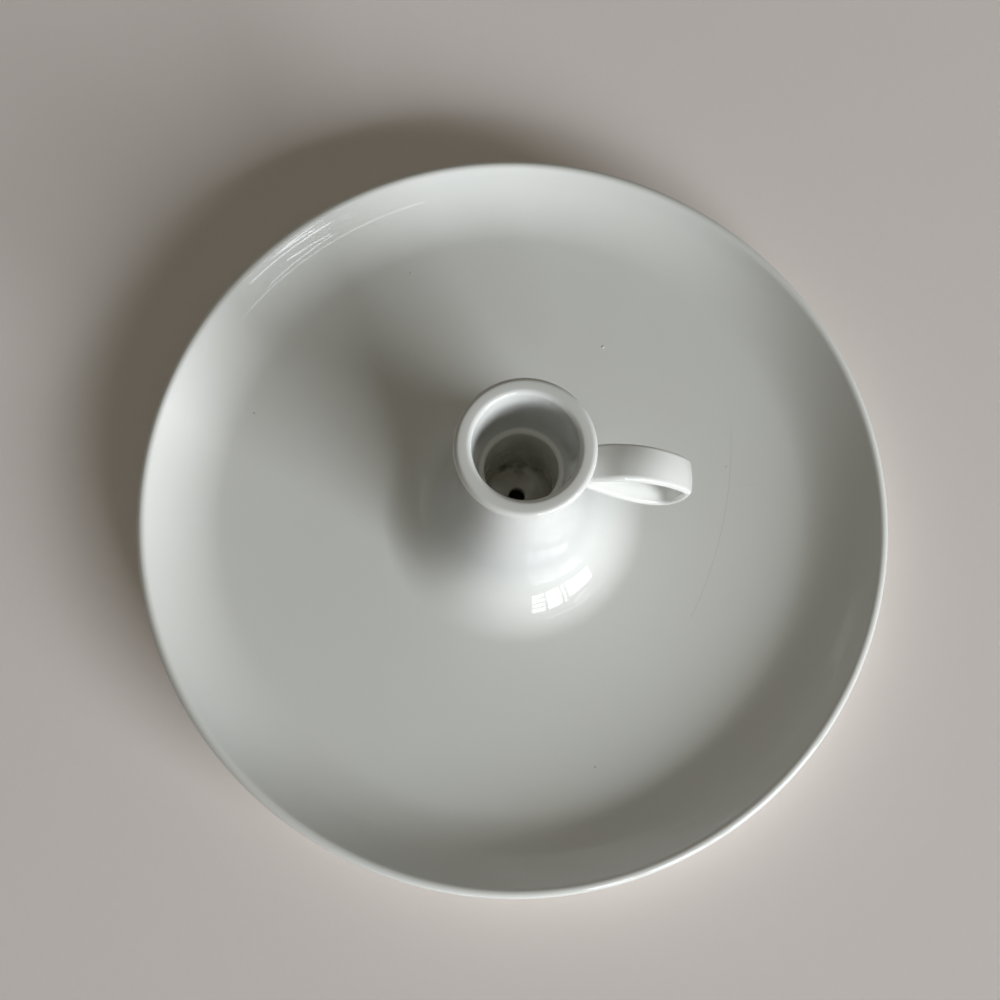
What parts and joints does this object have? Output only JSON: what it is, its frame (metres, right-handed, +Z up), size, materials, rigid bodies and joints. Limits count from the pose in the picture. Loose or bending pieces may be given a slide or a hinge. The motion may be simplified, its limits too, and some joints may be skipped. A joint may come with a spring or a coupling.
{
  "type": "taper candle holder",
  "caption": "White glazed porcelain chamberstick: a wide round dish with a trumpet stem, a stepped taper-candle socket inside a collar lip, and a strap finger loop on the neck.",
  "frame": {"origin": "on the table under the middle of the dish, in the plane of the foot ring", "axes": "+Z up along the stem and the candle, +X towards the finger loop"},
  "size_m": [0.22, 0.22, 0.0827],
  "materials": {
    "white_glaze": "glossy clear glaze on white porcelain",
    "socket_glaze": "glossy glaze with traces of wax and soot"
  },
  "bodies": {
    "root": {"dish": "white_glaze", "stem": "white_glaze", "socket_cup": "socket_glaze", "handle_loop": "white_glaze"}
  },
  "joints": []
}
